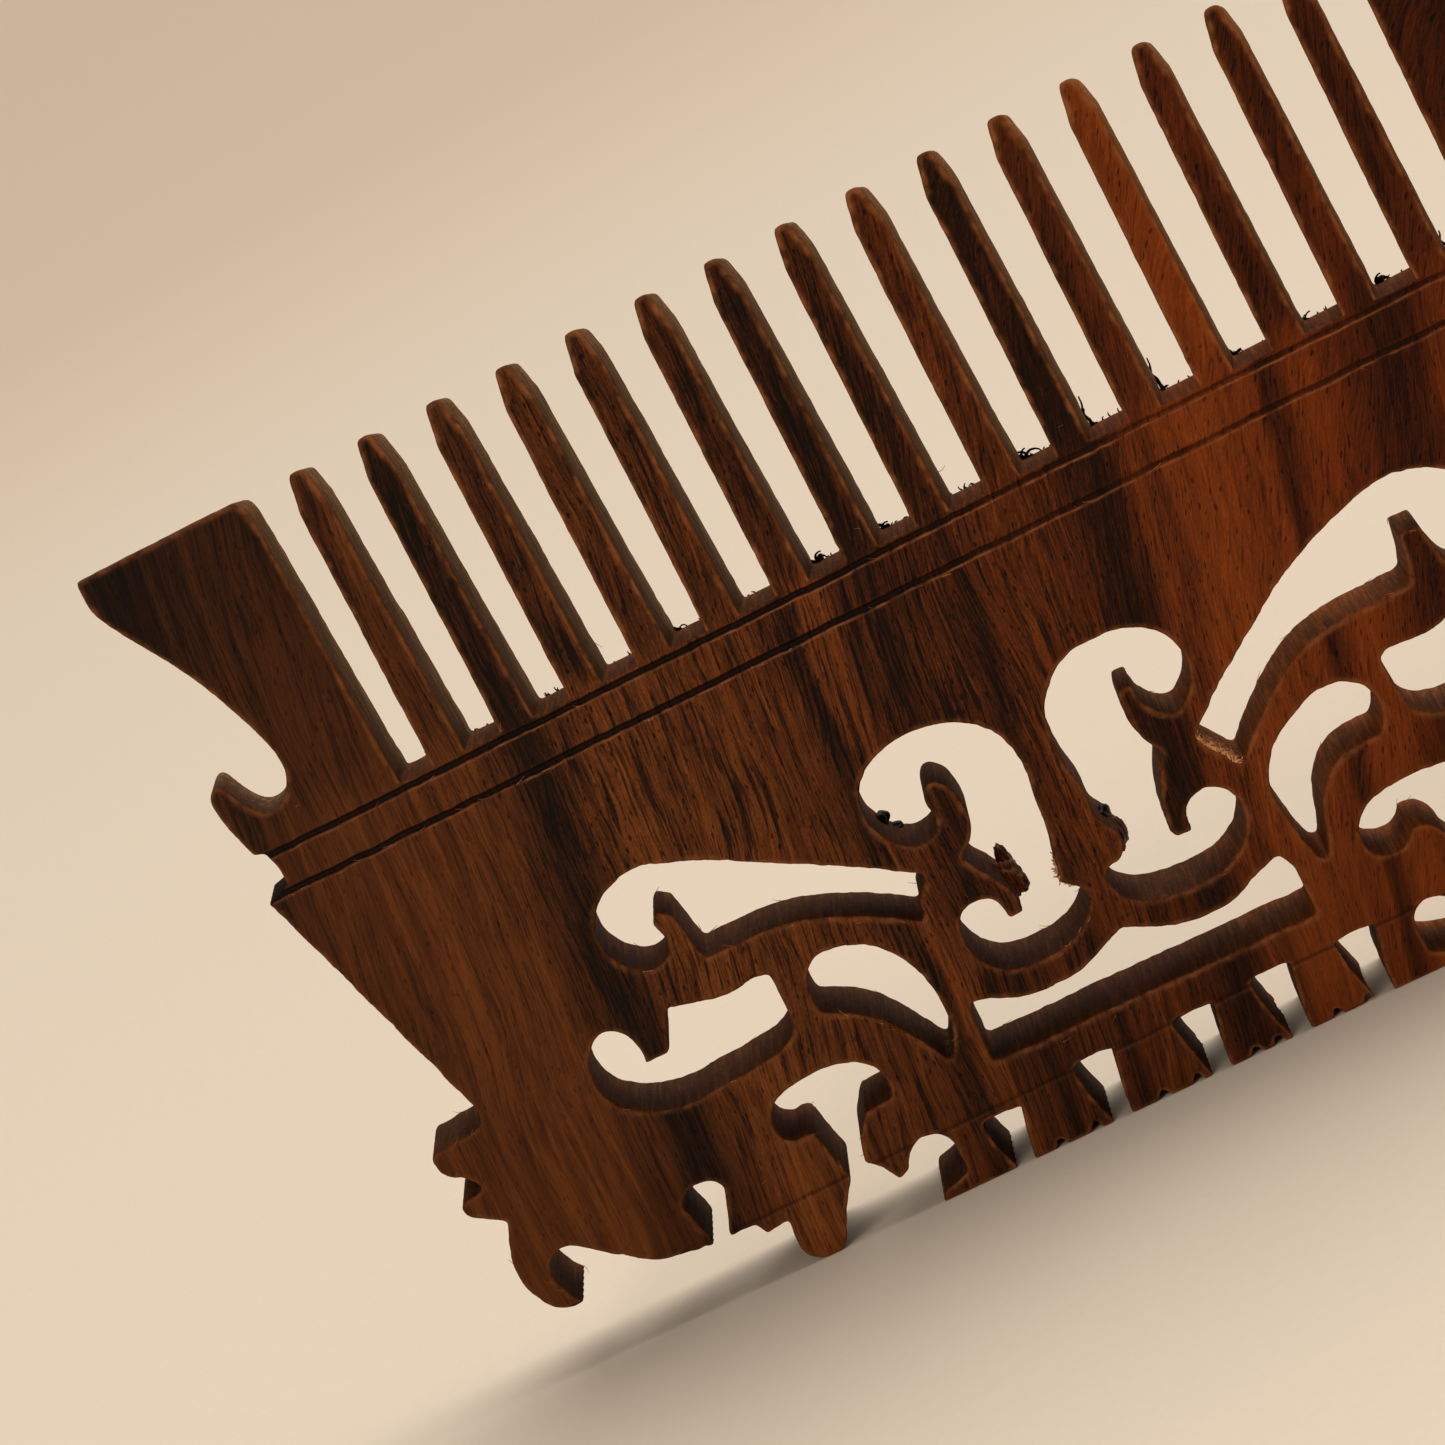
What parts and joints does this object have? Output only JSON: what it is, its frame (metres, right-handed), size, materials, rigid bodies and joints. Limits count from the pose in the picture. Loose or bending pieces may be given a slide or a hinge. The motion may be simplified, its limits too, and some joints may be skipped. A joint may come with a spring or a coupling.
{
  "type": "decorative hair comb",
  "caption": "Wide-toothed wooden hair comb with flared end guards, a scribed rail and a fretsawn back of scrolls and leaves over a blocked base.",
  "frame": {"origin": "centre of the comb in plan, at the flat bottom of its base blocks", "axes": "+X along the comb, +Y through its thickness from the front face to the back face, +Z along the teeth towards their tips"},
  "size_m": [0.1228, 0.0098, 0.074],
  "materials": {
    "rosewood": "sanded and lightly oiled, satin"
  },
  "bodies": {
    "root": {"base_block_1": "rosewood", "base_block_2": "rosewood", "base_block_3": "rosewood", "base_block_4": "rosewood", "base_block_5": "rosewood", "base_block_6": "rosewood", "base_rail": "rosewood", "bead_rail": "rosewood", "belly_left": "rosewood", "belly_right": "rosewood", "centre_bar": "rosewood", "corner_left": "rosewood", "corner_right": "rosewood", "cradle_left": "rosewood", "cradle_right": "rosewood", "guard_left": "rosewood", "guard_right": "rosewood", "leaf_bar_left": "rosewood", "leaf_bar_right": "rosewood", "leg_left": "rosewood", "leg_right": "rosewood", "lower_bar_left": "rosewood", "lower_bar_right": "rosewood", "pillar_left": "rosewood", "pillar_right": "rosewood", "scroll_left": "rosewood", "scroll_right": "rosewood", "stile_left": "rosewood", "stile_right": "rosewood", "tee_block_left": "rosewood", "tee_block_right": "rosewood", "tooth_01": "rosewood", "tooth_02": "rosewood", "tooth_03": "rosewood", "tooth_04": "rosewood", "tooth_05": "rosewood", "tooth_06": "rosewood", "tooth_07": "rosewood", "tooth_08": "rosewood", "tooth_09": "rosewood", "tooth_10": "rosewood", "tooth_11": "rosewood", "tooth_12": "rosewood", "tooth_13": "rosewood", "tooth_14": "rosewood", "tooth_15": "rosewood", "upper_panel": "rosewood"}
  },
  "joints": []
}
